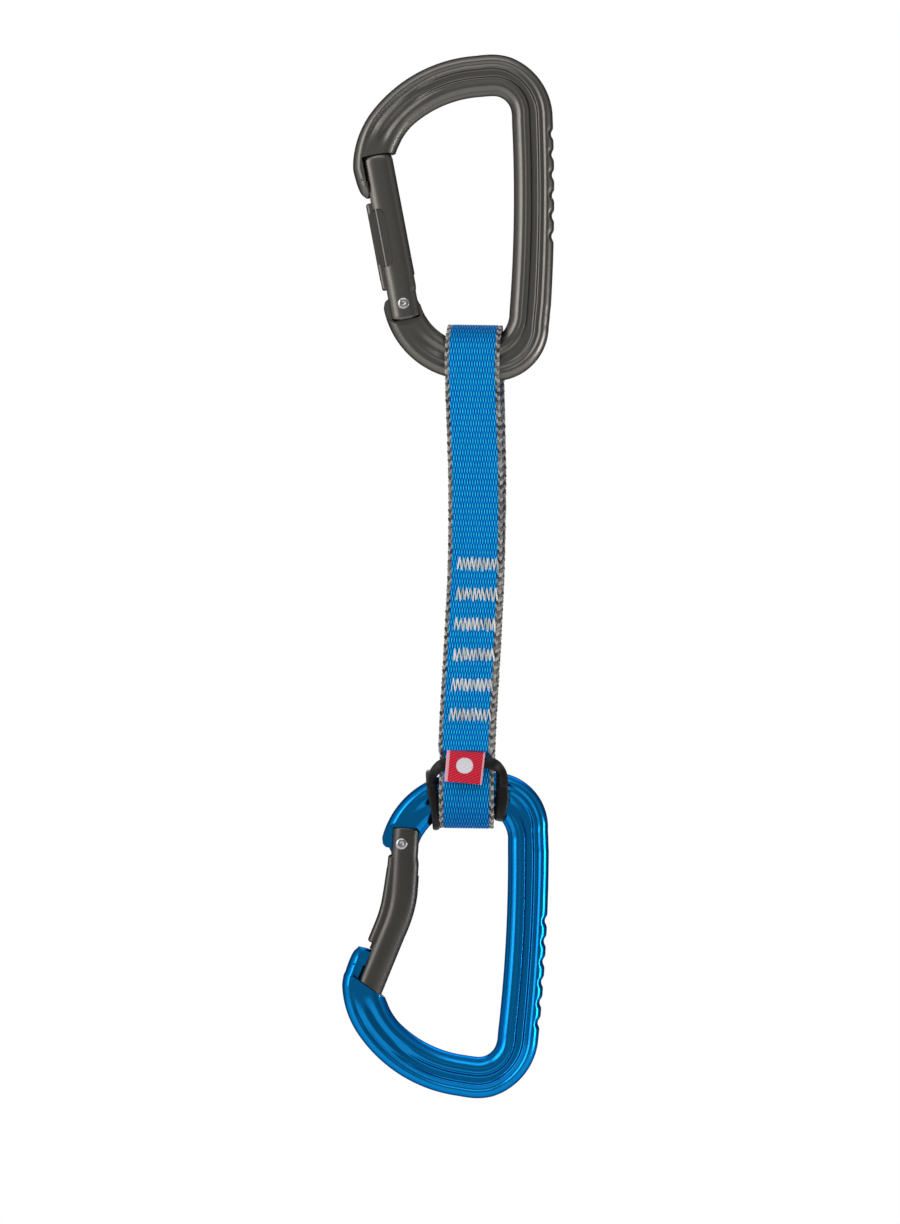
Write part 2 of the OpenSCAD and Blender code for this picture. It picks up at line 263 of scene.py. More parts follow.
NOTCH_TOP, NOTCH_PITCH, NOTCHES, NOTCH_DEPTH = 70.0, 6.3, 6, 0.7
NOSE_TIP = 34.2
# The nose's outer edge, as X and Z in the gate's frame, from its tip up
NOSE_EDGE = [(-5.0, 34.2), (-6.0, 34.9), (-6.7, 36.2), (-7.1, 38.2), (-7.35, 40.2), (-7.6, 44.0)]
BENT_NOSE_SHIFT = 0.6
SEAM, SEAM_HALF, SEAM_DEPTH = 39.5, 0.3, 0.35


def edge_distance(point, way, circle, far_side):
    """How far a ray goes from a point to a circle, to its far or its near side."""
    offset = point - np.array(circle[:2])
    along = offset @ way
    root = along**2 - offset @ offset + circle[2] ** 2
    root = sqrt(max(root, 0))
    return -along + root if far_side else -along - root


def bar_stations():
    """Stations along the bar: point, outward way, distance along, and the edges' distances."""
    rows = []
    travelled = 0.0
    for centre, radius, start, end, outer, inner in ARCS:
        length = radius if centre is None else radius * radians(end - start)
        steps = int(length / (STATION if end < 218 else NOSE_STATION))
        for i in range(steps):
            t = i / steps
            if centre is None:
                point = np.array([SPINE_X, SPINE_LOW + t * length])
                way = np.array([1.0, 0.0])
            else:
                angle = radians(start + t * (end - start))
                way = np.array([cos(angle), sin(angle)])
                point = np.array(centre) + radius * way
            reach = edge_distance(point, way, outer, True)
            back = edge_distance(point, -way, inner, False)
            rows.append((*point, *way, travelled + t * length, reach, back))
        travelled += length
    return np.array(rows)


def groove(distance, low, high, ramp):
    return smooth_step((distance - low) / ramp) * smooth_step((high - distance) / ramp)


def edge_round(distance, radius):
    rest = 1 - np.clip(distance / radius, 0, 1)
    return np.sqrt(1 - rest**2)


def bump(distance, middle, reach):
    """A smooth hump of height 1, from 0 at a distance either side of its middle."""
    return smooth_step(1 - np.abs(distance - middle) / reach)


def in_gate_frame(x, z):
    """X and Z of a carabiner's points in its gate's frame."""
    dx, dz = x - RIVET_AT.x, z - RIVET_AT.z
    turned_x = dx * cos(GATE_LEAN) + dz * sin(GATE_LEAN)
    return turned_x, dz * cos(GATE_LEAN) - dx * sin(GATE_LEAN)


def nose_reach(station, reach, shift):
    """How far out the nose goes at a station, where its outer edge is cut back."""
    steps = np.arange(0.5, reach, 0.02)
    x, z = in_gate_frame(station[0] + station[2] * steps, station[1] + station[3] * steps)
    edge_x, edge_z = np.array(NOSE_EDGE).T
    beyond = np.nonzero(x < np.interp(z, edge_z, edge_x + shift, left=-4.6, right=-20))[0]
    return steps[beyond[0]] if len(beyond) else reach


def section_points(width):
    """Distances from the inner edge where a section has its points. They keep their distance
    from the nearer edge, so that grooves run along rows of points."""
    t = np.linspace(0, 1, EDGE_POINTS)
    crowded = 0.6 * t + 0.4 * (1 - np.cos(t * pi / 2))
    scale = min(1, (width - 0.5) / (INNER_SPAN + OUTER_SPAN))
    inner = INNER_SPAN * scale * crowded
    outer = width - OUTER_SPAN * scale * crowded
    middle = np.linspace(inner[-1], outer[-1], MIDDLE_POINTS + 2)[1:-1]
    return np.concatenate([inner, middle, outer[::-1]])


def forged_relief(inside, outside, width, along, length):
    """How deep the forged pocket, grooves and tapered streaks are across one section."""
    pocket = smooth_step((along - 34) / 22) * smooth_step((length - 34 - along) / 16)
    rim = smooth_step((along - 26) / 26) * smooth_step((length - 17 - along) / 14)
    nose_streak = smooth_step((along - length + 52) / 12) * smooth_step((length - 20 - along) / 7)
    hinge_streak = smooth_step((along - 13) / 12) * smooth_step((52 - along) / 16)
    depth = 0.2 * pocket * (bump(inside, 3.4, 0.75) + bump(inside, 4.5, 0.6))
    depth += 1.0 * pocket * groove(inside, 4.8, width - 4.3, 1.0)
    depth += 0.5 * rim * bump(outside, 3.4, 1.0)
    depth += nose_streak * (0.75 * bump(outside, 7.4, 2.0) + 0.4 * bump(outside, 4.0, 1.6))
    depth += hinge_streak * (0.9 * bump(inside, 5.3, 2.4) + 0.3 * bump(outside, 3.2, 1.4))
    return depth


def carabiner_body(name, place, bent):
    stations = bar_stations()
    length = stations[-1, 4]
    reach = softened(np.clip(stations[:, 5], 4.5, 8), 6)
    back = softened(np.clip(stations[:, 6], 4.5, 8), 6)
    along = stations[:, 4]
    near_nose = along > length - 34
    shift = BENT_NOSE_SHIFT if bent else 0.0
    cut_back = [nose_reach(stations[i], reach[i], shift) for i in np.nonzero(near_nose)[0]]
    reach[near_nose] = softened(np.array(cut_back), 3)
    # Grip notches on the back of the spine
    spine = (stations[:, 0] == SPINE_X) & (stations[:, 2] == 1)
    notch = np.zeros(len(stations))
    for i in range(NOTCHES):
        gap = np.abs(stations[:, 1] - (NOTCH_TOP - i * NOTCH_PITCH)) / 1.75
        notch += np.where(spine, NOTCH_DEPTH * smooth_step(1.15 - gap), 0)
    sections = []
    for i, (x, z, out_x, out_z, *_) in enumerate(stations):
        width = reach[i] + back[i]
        inside = section_points(width)
        outside = width - inside
        half = HALF_THICK * edge_round(inside, 3.9) * edge_round(outside, 2.7)
        half -= forged_relief(inside, outside, width, along[i], length)
        across = inside - back[i] - notch[i] * smooth_step(1 - outside / 2.6)
        px, pz = x + out_x * across, z + out_z * across
        if near_nose[i]:
            above_rivet = in_gate_frame(px, pz)[1]
            half *= 0.2 + 0.8 * edge_round(np.maximum(above_rivet - NOSE_TIP, 0), 4.0)
            half -= SEAM_DEPTH * bump(above_rivet, SEAM, SEAM_HALF)
        half = np.maximum(half, 0)
        face = list(zip(px, -half, pz))
        rear = [(a, -b, c) for a, b, c in face[1:-1]]
        sections.append(face + rear[::-1])
    piece = new_object(name, *loft(sections), place)
    combine(piece, body_cuts(place @ GATE, bent), "DIFFERENCE", 55)
    return piece


TONGUE_HALF, EAR_POCKET, HEAD_R = 2.0, 6.75, 39.2
NECK_HALF, HEAD_HALF, WEB_INNER, WEB_OUTER = 1.5, 2.8, 3.2, 4.3
GATE_END_R, END_GAP = 46.3, 0.3
BENT_END_AT, BENT_END_SLANT = (-7.4, 44.3), 31.8
TIP_AT, TIP_R, PLUNGER_RATE = 5.6, 1.45, 2.25


def cam(angle):
    """A point of the cam that the plunger's tip runs over, in the gate's frame."""
    radius = TIP_AT + PLUNGER_RATE * max(0.0, angle)
    slope = PLUNGER_RATE if angle > 0 else 0.0
    size = hypot(radius, slope)
    tip = (radius * sin(angle), radius * cos(angle))
    way = (tip[0] - slope * cos(angle), tip[1] + slope * sin(angle))
    return tip[0] - TIP_R / size * way[0], tip[1] - TIP_R / size * way[1]


def bent_line(gap):
    """A point and the outward way of the bent gate's slanting end."""
    way = (sin(-radians(BENT_END_SLANT)), cos(radians(BENT_END_SLANT)))
    upright = Matrix.Rotation(GATE_LEAN, 4, "Y")
    start = upright @ Vector((BENT_END_AT[0], 0, BENT_END_AT[1]))
    turned = upright @ Vector((way[0], 0, way[1]))
    return (start.x + gap * turned.x, start.z + gap * turned.z), (turned.x, turned.z)


def angle_at(radius, x):
    """Where a circle about the rivet crosses an X, in degrees."""
    return np.degrees(acos(x / radius))


def below_mouth(left, low_r, bent):
    """The room of the gate's end, right of a line and outside a circle about the rivet."""
    reach = 62 if bent else GATE_END_R + END_GAP
    outer = disc(reach, start=55, end=angle_at(reach, left), steps=24)
    inner = disc(low_r, start=55, end=angle_at(low_r, left), steps=24)[::-1]
    outline = outer + inner
    if bent:
        # The slanting line cuts the sector; it is convex enough there to be clipped.
        outline = clipped(outline, *bent_line(END_GAP))
    return outline


def body_cuts(place, bent):
    tongue = [(-14, 17), (-14, -3), (-9, -1.5), (-6.3, -0.2), (-5.6, 1.6), (-4.6, 2.3), (-3.4, 2.3)]
    tongue += [cam(radians(a)) for a in range(-40, 33, 3)]
    tongue += [(4.9, -0.8), (9, -1.2), (9, -7), (14, -7), (14, 17)]
    cuts = [through(tongue, place)]
    cuts += both_sides(disc(EAR_POCKET), TONGUE_HALF, place)
    cuts += both_sides(rectangle(-14, 14, -2.5, 14), TONGUE_HALF, place)
    cuts.append(through(disc(1.56, steps=24), place))
    cuts.append(through(rectangle(-20, 20, 20, NOSE_TIP), place))
    cuts.append(through(below_mouth(WEB_INNER, 30, bent), place))
    cuts += both_sides(below_mouth(-WEB_OUTER, HEAD_R, bent), NECK_HALF, place)
    low = disc(HEAD_R + 0.01, start=60, end=96.3, steps=20) + [(-WEB_OUTER, 30), (19, 30)]
    cuts += both_sides(low, HEAD_HALF, place)
    return cuts


body_top = carabiner_body("forged_body_top", UPPER, False)
body_bottom = carabiner_body("forged_body_bottom", LOWER, True)
for piece, body, node, slot in [
    (body_top, "upper_carabiner", "top_body", "grey_anodised"),
    (body_bottom, "lower_carabiner", "bottom_body", "blue_anodised"),
]:
    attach(piece, body)
    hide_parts(node)


# ---- gates
GATE_HALF = 4.6
FIN_START, FIN_END = 5.5, 32.3
CHEEK = 4.1
LOCK_GAP = 0.3
ROUND_POINTS = 72
RIDGE_X = -3.0


def rounded_section(left, right, half, sharpness):
    """A squarish round section from one X to another, as (x, y) points."""
    middle, reach = (left + right) / 2, (right - left) / 2
    points = []
    for angle in np.linspace(0, 2 * pi, ROUND_POINTS, endpoint=False):
        c, s = cos(angle), sin(angle)
        size = (abs(c) ** sharpness + abs(s) ** sharpness) ** (-1 / sharpness)
        points.append((middle + reach * size * c, half * size * s))
    return points


def gate_slots(place):
    """What the fork, the neck and the head of the nose take from a gate."""
    head_top = HEAD_R + LOCK_GAP
    right = WEB_INNER + LOCK_GAP

    def arc(radius):
        return disc(radius, start=angle_at(radius, right), end=angle_at(radius, -12), steps=16)

    def ring(low, high):
        return arc(high) + arc(low)[::-1]

    neck, head = NECK_HALF + LOCK_GAP, HEAD_HALF + LOCK_GAP
    return [
        prism(rectangle(-12, 12, -12, 8.6), -2.12, 2.12, place),
        prism(ring(head_top - 0.2, 56), -neck, neck, place),
        prism(ring(NOSE_TIP - 0.4, head_top), -head, head, place),
        through(rectangle(-20, -CHEEK, FIN_END, 70), place),
        through(disc(1.5, steps=24), place),
    ]


def slot_shape(start, end, radius):
    """A round-ended slot in the X-Z plane from one point to another."""
    turn = np.degrees(atan2(end[1] - start[1], end[0] - start[0]))
    far_end = disc(radius, end, turn - 90, turn + 90, 12)
    return far_end + disc(radius, start, turn + 90, turn + 270, 12)


def straight_gate(name, place):
    rows = []
    low_ear, square_r = -4.75, 6.45
    heights = [low_ear, -4.6, -4.3, *np.linspace(-4, 3.2, 8), 3.6, 4.0, 4.4, 4.9, 5.4]
    heights += [*np.linspace(6, 45.4, 50), 45.8, 46.1, 46.3]
    for z in heights:
        right = 4.75 + 0.35 * smooth_step((z - 3.4) / 1.5)
        left = -4.7
        if z < 0:
            reach = sqrt(square_r**2 - z**2)
            right, left = min(right, reach), max(left, -reach)
        ends = max(0, z - 45.2) * 0.45 + max(0, -4.2 - z) * 0.6
        half = GATE_HALF - ends
        section = rounded_section(left + ends, right - ends, half, 2.5)
        rows.append([(x, y, z) for x, y in section])
    piece = new_object(name, *loft(rows), place)
    fin_rows = []
    for z in [FIN_START, FIN_START + 0.4, *np.linspace(7, 31, 10), FIN_END - 0.4, FIN_END]:
        inset = 0.35 * (z in (FIN_START, FIN_END))
        section = rounded_section(-5.75 + inset, -1, 3.1 - inset, 5)
        fin_rows.append([(x, y, z) for x, y in section])
    fin = new_object("cutter", *loft(fin_rows), place)
    combine(piece, [fin], "UNION")
    cuts = gate_slots(place)
    # The finger recess on both faces: a pocket in the rod and one in the fin, with a ridge between
    slot = slot_shape((RIDGE_X, 14.4), (RIDGE_X, 27.7), 2.5)
    cuts += both_sides(clipped(slot, (RIDGE_X + 0.15, 0), (-1, 0)), 3.7, place)
    cuts += both_sides(clipped(slot, (RIDGE_X - 0.25, 0), (1, 0)), 2.75, place)
    combine(piece, cuts, "DIFFERENCE")
    return piece


def bent_centre(height):
    """Centre and lean of the bent gate at a distance along it, in its upright frame."""
    shift, straight, bend, angle = 1.1, 13.7, 40.0, radians(18.5)
    if height < straight:
        return (shift, height), 0.0
    turn = min((height - straight) / bend, angle)
    x, z = shift - bend + bend * cos(turn), straight + bend * sin(turn)
    beyond = max(0.0, height - straight - bend * angle)
    return (x - beyond * sin(turn), z + beyond * cos(turn)), turn


def swept(rows, section):
    """Rows of points of a section carried along the bent gate's centre line."""
    points = []
    for height in rows:
        (x, z), turn = bent_centre(height)
        points.append([(x + a * cos(turn), b, z + a * sin(turn)) for a, b in section(height)])
    return points


def bent_gate(name, place):
    upright = place @ Matrix.Rotation(GATE_LEAN, 4, "Y")
    half = 4.4

    def rod(height):
        ends = max(0, -4.4 - height) * 0.6
        shoulder = 0.45 * smooth_step((height - 4) / 2.5) * smooth_step((30 - height) / 16)
        return rounded_section(-half + ends, half + shoulder - ends, GATE_HALF - ends, 2.5)

    def fin(height):
        inset = 0.35 * (height in (4.0, 33.0))
        proud = 0.7 + 0.8 * smooth_step((height - 4) / 14)
        return rounded_section(-half - proud + inset, -0.5, 3.6 - inset, 3.6)

    heights = [-4.8, -4.6, -4.3, *np.linspace(-4, 56, 76)]
    piece = new_object(name, *loft(swept(heights, rod)), upright)
    fin_rows = [4.0, 4.4, *np.linspace(5, 32, 28), 32.6, 33.0]
    fin_piece = new_object("cutter", *loft(swept(fin_rows, fin)), upright)
    combine(piece, [fin_piece], "UNION")
    # The slanting end, and the slots
    point, way = bent_line(0)
    along = (way[1], -way[0])
    beyond = [
        (point[0] + a * along[0] + b * way[0], point[1] + a * along[1] + b * way[1])
        for a, b in [(-25, 0), (25, 0), (25, 30), (-25, 30)]
    ]
    combine(piece, gate_slots(place) + [through(beyond, place)], "DIFFERENCE")
    return piece


gate_top = straight_gate("gate_straight", UPPER @ GATE)
gate_bottom = bent_gate("gate_bent", LOWER @ GATE)
for piece, body, node in [
    (gate_top, "upper_gate", "top_gate"),
    (gate_bottom, "lower_gate", "bottom_gate"),
]:
    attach(piece, body)
    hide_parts(node)


# ---- rivets
def rivet(name, place):
    """A shank with a peened head at each end: a dome with a dimple and a low rim."""
    profile = [(0.0, 4.7), (0.2, 4.71), (0.4, 4.76), (0.55, 4.84), (0.7, 4.91), (0.85, 4.94)]
    profile += [(1.05, 4.93), (1.25, 4.88), (1.45, 4.78), (1.62, 4.66), (1.76, 4.52)]
    profile += [(1.85, 4.36), (1.87, 4.22), (1.8, 4.16), (1.42, 4.14)]
    halves = profile + [(r, -y) for r, y in profile[::-1]]
    rows = []
    for r, y in halves:
        r = max(r, 0.02)
        angles = np.linspace(0, 2 * pi, 64, endpoint=False)
        rows.append([(r * cos(a), y, r * sin(a)) for a in angles])
    return new_object(name, *loft(rows), place)


for name, place, body, node in [
    ("rivet_top", UPPER @ GATE, "upper_gate", "top_gate_rivet"),
    ("rivet_bottom", LOWER @ GATE, "lower_gate", "bottom_gate_rivet"),
]:
    piece = rivet(name, place)
    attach(piece, body)
    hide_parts(node)


# ---- sling path
TAPE_W, TAPE_T = 16.6, 2.2
SLING_LENGTH = 132.7
UPPER_R, LOWER_R = 9.1 + TAPE_T / 2, 7.8 + TAPE_T / 2
UPPER_NECK, LOWER_NECK = 59.8, SLING_LENGTH - 21
TAIL = 9.7
LOWER_CENTRE = np.array([0.0, -SLING_LENGTH - 1.6])
FRONT_NECK, BACK_NECK = np.array([0.0, -LOWER_NECK]), np.array([TAPE_T, -LOWER_NECK])


def tangent(centre, radius, point, turn):
    """Where a line from a point touches a circle, in the side view."""
    offset = np.asarray(point, float) - centre
    angle = atan2(offset[1], offset[0]) + turn * acos(radius / hypot(*offset))
    return centre + radius * np.array([cos(angle), sin(angle)])


FRONT_TOUCH = tangent(LOWER_CENTRE, LOWER_R, FRONT_NECK, 1)
BACK_TOUCH = tangent(LOWER_CENTRE, LOWER_R, BACK_NECK, -1)
FRONT_DIR = (FRONT_TOUCH - FRONT_NECK) / np.linalg.norm(FRONT_TOUCH - FRONT_NECK)
BACK_DIR = (BACK_TOUCH - BACK_NECK) / np.linalg.norm(BACK_TOUCH - BACK_NECK)
FRONT_OUT = np.array([FRONT_DIR[1], -FRONT_DIR[0]])
BACK_OUT = np.array([-BACK_DIR[1], BACK_DIR[0]])


def on_front(along, out):
    """A point beside the front of the lower loop: along the tape, then out from its middle."""
    return FRONT_NECK + along * FRONT_DIR + out * FRONT_OUT


def on_back(along, out):
    return BACK_NECK + along * BACK_DIR + out * BACK_OUT


def arc_points(centre, start, end, clockwise):
    """Points of an arc between two places in the side view, every half millimetre."""
    radius = np.linalg.norm(start - centre)
    first = atan2(*(start - centre)[::-1])
    last = atan2(*(end - centre)[::-1])
    if clockwise:
        while last > first:
            last -= 2 * pi
    else:
        while last < first:
            last += 2 * pi
    angles = np.linspace(first, last, int(abs(last - first) * radius / 0.5) + 2)
    return [centre + radius * np.array([cos(a), sin(a)]) for a in angles]


def eased(places, start, end):
    """Places along an arc, whose shift goes smoothly from one value to another."""
    last = len(places) - 1
    steps = [float(smooth_step(i / last)) for i in range(last + 1)]
    return [(p, start + (end - start) * step) for p, step in zip(places, steps)]


def tape_path():
    """The tape's middle line, from its folded end in front, over the upper bar, down the back,
    round the lower bar and up between the two outer layers, as (y, z) and the shift along X."""
    origin = np.zeros(2)
    left = tangent(origin, UPPER_R, (-TAPE_T, -UPPER_NECK), -1)
    right = tangent(origin, UPPER_R, (TAPE_T, -UPPER_NECK), 1)
    front = -0.4
    back = 1.5
    root = FRONT_NECK - np.array([TAPE_T, 0])
    points = [(root + TAIL * FRONT_DIR, front), (root, front)]
    points += [(np.array([-TAPE_T, -UPPER_NECK]), front)]
    over = arc_points(origin, left, right, True)
    points += eased(over, front, back)
    back = 0.6
    points += [(np.array([TAPE_T, -UPPER_NECK]), back), (BACK_NECK, back)]
    under = arc_points(LOWER_CENTRE, BACK_TOUCH, FRONT_TOUCH, True)
    points += eased(under, back, 0.1)
    points += [(FRONT_NECK, 0.1), (np.array([0.0, -UPPER_NECK - 1]), 0.1)]
    return points


BOW_AT = [-150, -125, -114, -90, -63, -37, 1, 12]
BOW_BY = [-1.1, -1.1, -1.0, 0.15, 1.15, 0.95, -0.9, -0.5]


def bow(height):
    """How far the hanging tape bends sideways at a height."""
    height = np.asarray(height, float)
    return sum(np.interp(height + d, BOW_AT, BOW_BY) for d in range(-8, 9, 2)) / 9


def resampled(points, step):
    """Evenly spaced points, their directions, shifts and distances along the path."""
    flat = np.array([[*p, shift] for p, shift in points])
    gaps = np.hypot(*(np.diff(flat[:, :2], axis=0).T))
    along = np.concatenate([[0], np.cumsum(gaps)])
    at = np.arange(0, along[-1], step)
    even = np.stack([np.interp(at, along, flat[:, k]) for k in range(3)], axis=1)
    # Rounds the corners where the path turns suddenly.
    for k in range(2):
        even[:, k] = softened(even[:, k], max(1, int(1.2 / step)))
    even[:, 2] += bow(even[:, 1])
    way = np.gradient(even[:, :2], axis=0)
    way /= np.linalg.norm(way, axis=1)[:, None]
    return even, way, at


ROW_PITCH, YARN_PITCH, YARN_REACH = 1.81, 0.8, 0.58
REAR_ALONG, REAR_ACROSS = 0.75, 0.4
UV_MM = 400
SELVAGE = 1.2
BASE_HALF, WEAVE_H = 0.82, 0.3


def weave_height(along, across):
    """Height of the weave: upright yarns in rows that interlock, each half a yarn aside."""
    tallest = 0
    for parity in (0, 1):
        in_row = (along / ROW_PITCH - parity + 0.5) % 2 - 1.0
        yarn = np.cos(pi * (across / YARN_PITCH + parity / 2)) ** 2
        window = np.sqrt(np.maximum(1 - (in_row / YARN_REACH) ** 2, 0))
        tallest = np.maximum(tallest, yarn * window)
    return tallest


def clothed(piece, uv):
    """Gives each point of a piece its place on the flat cloth."""
    corners = np.empty(len(piece.data.loops), dtype=np.int32)
    piece.data.loops.foreach_get("vertex_index", corners)
    layer = piece.data.uv_layers.new(name="cloth")
    layer.data.foreach_set("uv", np.asarray(uv)[corners].reshape(-1).astype(np.float32))
    return piece


def ribbon(name, place):
    """The woven tape between its edges, as one closed sheet with its weave on both faces."""
    path, way, at = resampled(tape_path(), 0.3)
    half = TAPE_W / 2 - SELVAGE
    across = np.arange(-half, half + 0.01, 0.2)
    out = np.stack([-way[:, 1], way[:, 0]], axis=1)
    front = weave_height(at[:, None], across[None, :])
    rear = weave_height(at[:, None] + REAR_ALONG, across[None, :] + REAR_ACROSS)
    rim = smooth_step((half - np.abs(across)) / 0.3)
    layers, places = [], []
    for side, weave in ((1, front), (-1, rear)):
        thick = side * (BASE_HALF + WEAVE_H * weave * rim)
        y = path[:, 0, None] + out[:, 0, None] * thick
        z = path[:, 1, None] + out[:, 1, None] * thick
        x = path[:, 2, None] + across[None, :] + 0 * y
        layers.append(np.stack([x, y, z], axis=-1))
        shift = 0 if side > 0 else 1
        u = across[None, :] + REAR_ACROSS * shift + 0 * y
        v = at[:, None] + REAR_ALONG * shift + 0 * y
        places.append(np.stack([u, v], axis=-1))
    loop = np.concatenate([layers[0], layers[1][:, ::-1]], axis=1)
    cloth = np.concatenate([places[0], places[1][:, ::-1]], axis=1).reshape(-1, 2)
    return clothed(new_object(name, *loft(loop), place), cloth / UV_MM)


def tube_faces(first, rings, around):
    """Faces of a closed tube whose points start at an index, ring after ring."""
    faces = []
    for r in range(rings - 1):
        for k in range(around):
            a, b = first + r * around + k, first + r * around + (k + 1) % around
            faces.append((a, b, b + around, a + around))
    last = first + (rings - 1) * around
    faces.append(tuple(first + k for k in range(around))[::-1])
    faces.append(tuple(last + k for k in range(around)))
    return faces


def toned(name, points, faces, tones, place):
    """A piece whose points carry a tone for its material."""
    piece = new_object(name, points, faces, place)
    piece.data.attributes.new("tone", "FLOAT", "POINT").data.foreach_set("value", tones)
    return piece


LINK_RINGS = [(-1, 0.25), (-0.8, 0.72), (-0.35, 1), (0.35, 1), (0.8, 0.72), (1, 0.25)]
LINK_SIDES, LINK_FLAT = 7, 0.85


def capsules(name, centres, ways, lengths, radii, tones, place):
    """Many small round-ended links in one mesh, each with a tone for its material."""
    points, faces, values = [], [], []
    for centre, (way, side, out), length, radius, tone in zip(
        centres, ways, lengths, radii, tones
    ):
        faces += tube_faces(len(points), len(LINK_RINGS), LINK_SIDES)
        for t, size in LINK_RINGS:
            for k in range(LINK_SIDES):
                a = 2 * pi * k / LINK_SIDES
                reach = radius * size * (cos(a) * side + LINK_FLAT * sin(a) * out)
                points.append(centre + t * length / 2 * way + reach)
                values.append(tone)
    return toned(name, points, faces, values, place)


LINK_PITCH, LINK_STEP = 1.3, 0.1


def selvage(name, place):
    """The chain-like edges of the tape: two columns of links on each face of each edge."""
    path, way, at = resampled(tape_path(), LINK_STEP)
    out = np.stack([-way[:, 1], way[:, 0]], axis=1)
    x_way = np.array([1.0, 0, 0])
    centres, ways, lengths, radii, tones = [], [], [], [], []
    for edge in (-1, 1):
        for column, across in enumerate((TAPE_W / 2 - 0.98, TAPE_W / 2 - 0.38)):
            for face in (-1, 1):
                for i in range(int(at[-1] / LINK_PITCH)):
                    k = int((i + 0.5 * (column + 0.5 * (face > 0))) * LINK_PITCH / LINK_STEP)
                    if k >= len(at):
                        continue
                    jitter = random.normal(0, 0.05, 3)
                    along = np.array([0, *way[k]])
                    normal = np.array([0, *out[k]])
                    slant = edge * (1 if column else -1) * 0.32 + jitter[0]
                    direction = along * cos(slant) + x_way * sin(slant)
                    side = x_way * cos(slant) - along * sin(slant)
                    middle = np.array([path[k, 2] + edge * across, *path[k, :2]])
                    middle = middle + normal * face * (0.62 + 0.06 * column) + jitter * 0.6
                    centres.append(middle)
                    ways.append((direction, side, normal))
                    lengths.append(LINK_PITCH * 1.25)
                    radii.append(0.4)
                    pale = 0.8 if (i + column) % 2 else 0.2
                    tones.append(float(np.clip(pale + random.normal(0, 0.16), 0, 1)))
    return capsules(name, centres, ways, lengths, radii, tones, place)


tape = ribbon("sling_tape", SLING)
edges = selvage("sling_edges", SLING)
for piece in (tape, edges):
    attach(piece, "sling")
    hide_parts("sling_webbing")


# ---- bar tacks
TACK_W, TACK_H, ZIGS, THREAD_R = 12.6, 3.7, 10, 0.2
FIRST_TACK, TACK_STEP = 62.6, 9.3


def thread_tube(lines, radius, tones, sides=6):
    """Points, faces and tones of round threads along several lines of points."""
    points, faces, values = [], [], []
    for line, tone in zip(lines, tones):
        line = np.array(line)
        way = np.gradient(line, axis=0)
        way /= np.linalg.norm(way, axis=1)[:, None]
        faces += tube_faces(len(points), len(line), sides)
        for p, d in zip(line, way):
            side = np.cross(d, (0, 1, 0))
            side /= np.linalg.norm(side)
            up = np.cross(side, d)
            for k in range(sides):
                a = 2 * pi * k / sides
                points.append(p + radius * (cos(a) * side + sin(a) * up))
                values.append(tone)
    return points, faces, values


def bar_tack(name, place, drop):
    """A row of zigzag stitches on both faces, each leg an arched thread sunk at its ends."""
    lines, tones = [], []
    for face in (-1, 1):
        shift = (0.6 if face < 0 else 1.0) + float(bow(-drop))
        legs = 2 * ZIGS
        for way in (1, -1):
            ends = []
            for i in range(legs + 1):
                x = shift + way * (i / legs - 0.5) * TACK_W + random.normal(0, 0.12)
                z = -drop + (1 if i % 2 else -1) * TACK_H / 2 + random.normal(0, 0.2)
                ends.append((x, z))
            for i in range(legs):
                (x0, z0), (x1, z1) = ends[i], ends[i + 1]
                line = []
                for t in np.linspace(0, 1, 8):
                    lift = 3.0 + (0.5 + 0.12 * way) * sin(pi * t) ** 0.55 + 0.1 * (i % 2)
                    line.append((x0 + (x1 - x0) * t, face * lift, z0 + (z1 - z0) * t))
                lines.append(line)
                tones.append(float(np.clip(0.82 + random.normal(0, 0.22), 0, 1)))
    return toned(name, *thread_tube(lines, THREAD_R, tones), place)


tacks = []
for i in range(6):
    piece = bar_tack(f"tack_{i + 1}", SLING, FIRST_TACK + i * TACK_STEP)
    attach(piece, "sling")
    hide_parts(f"bar_tack_{i + 1}")
    tacks.append(piece)


# ---- label
def label(name, place):
    """The tab that hangs from under the folded end: a slightly bowed cloth with a hem."""
    columns, rows = 61, 51
    half_w, top, bottom, turn = 5.9, TAIL - 0.3, 21.2, radians(-4.6)
    middle = -1.6
    points, uv = [], []
    for face in (1, -1):
        for j in range(rows):
            v = j / (rows - 1)
            for i in range(columns):
                u = i / (columns - 1)
                edge = min(u, 1 - u, 1 - v) * 12
                along = top + v * (bottom - top)
                belly = 0.35 * sin(pi * u) * v + 0.25 * v * v
                out = TAPE_T / 2 + 0.9 + 1.6 * smooth_step(4.5 * v) + belly
                thick = 0.25 * edge_round(max(edge, 0.02), 0.35)
                a = (u - 0.5) * 2 * half_w * (1 - 0.03 * v)
                side = a * cos(turn) + (along - (top + bottom) / 2) * sin(turn)
                y, z = on_front(along - a * sin(turn), out + face * thick)
                points.append((middle + side, y, z))
                uv.append((u, v))
    count = rows * columns
    faces = []
    for j in range(rows - 1):
        for i in range(columns - 1):
            a = j * columns + i
            faces.append((a, a + 1, a + 1 + columns, a + columns))
            b = a + count
            faces.append((b, b + columns, b + 1 + columns, b + 1))
    rim = [*range(columns)] + [j * columns + columns - 1 for j in range(1, rows)]
    rim += [(rows - 1) * columns + i for i in range(columns - 2, -1, -1)]
    rim += [j * columns for j in range(rows - 2, 0, -1)]
    for a, b in zip(rim, rim[1:] + rim[:1]):
        faces.append((b, a, a + count, b + count))
    return clothed(new_object(name, points, faces, place), uv)


tab = label("label_tab", SLING)
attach(tab, "sling")
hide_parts("woven_label")


